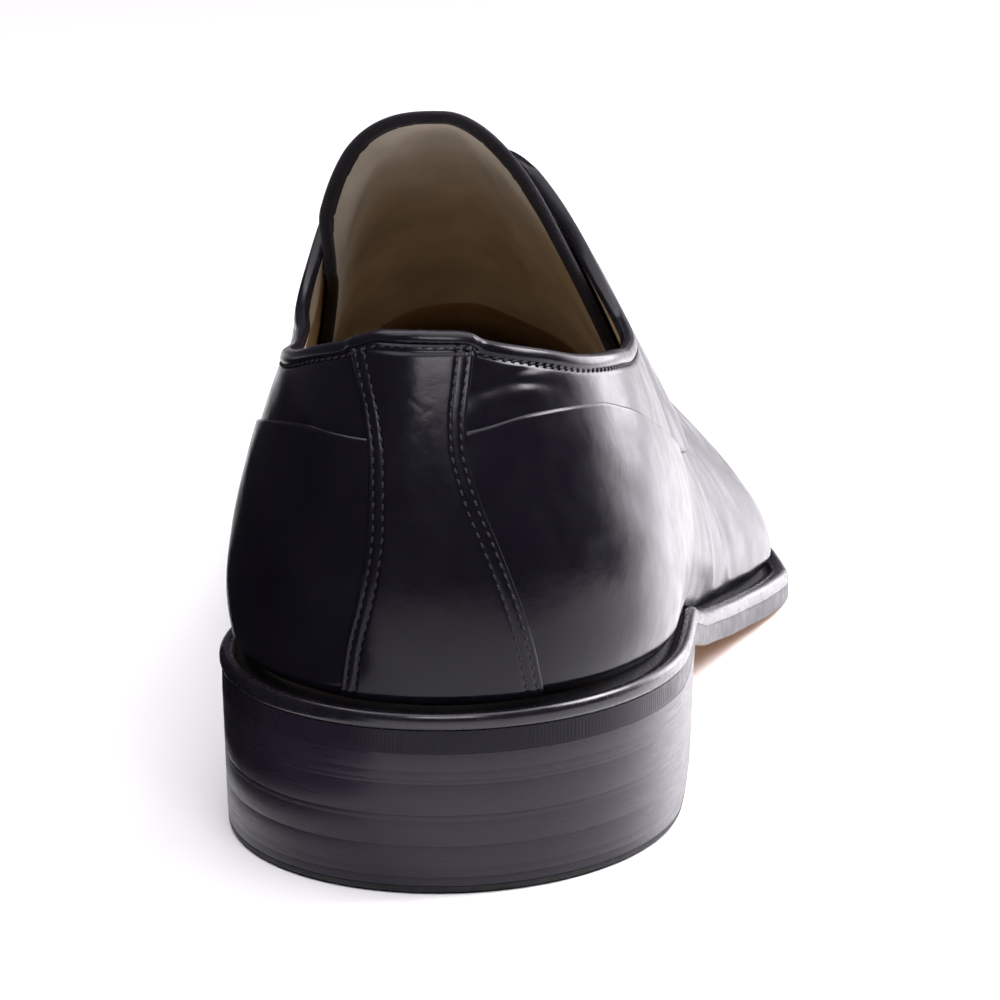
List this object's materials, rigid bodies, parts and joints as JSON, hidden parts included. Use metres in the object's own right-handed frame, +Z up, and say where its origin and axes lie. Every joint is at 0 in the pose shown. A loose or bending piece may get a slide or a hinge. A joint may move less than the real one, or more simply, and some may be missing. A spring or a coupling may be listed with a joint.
{
  "type": "dress shoe",
  "caption": "Right-foot derby dress shoe: hollow black leather upper with back strip, arched tongue, beaded welt, leather sole and stacked heel, to be worn or stood on a floor.",
  "frame": {"origin": "centre of the bounding box in plan, at the floor under heel and forefoot", "axes": "+Y from heel to toe, +X to the outer side of the right foot, +Z up"},
  "size_m": [0.0988, 0.304, 0.1008],
  "materials": {
    "calf": "polished black calf",
    "sock": "tan lining leather",
    "edge": "black stained sole leather",
    "stack": "black stained stacked leather",
    "rubber": "matt black"
  },
  "bodies": {
    "root": {"upper": "calf", "back_strip": "calf", "tongue": "calf", "insole": "sock", "welt": "edge", "outsole": "edge", "heel_lift_1": "stack", "heel_lift_2": "stack", "heel_lift_3": "stack", "heel_lift_4": "stack", "heel_top_piece": "rubber"}
  },
  "joints": []
}
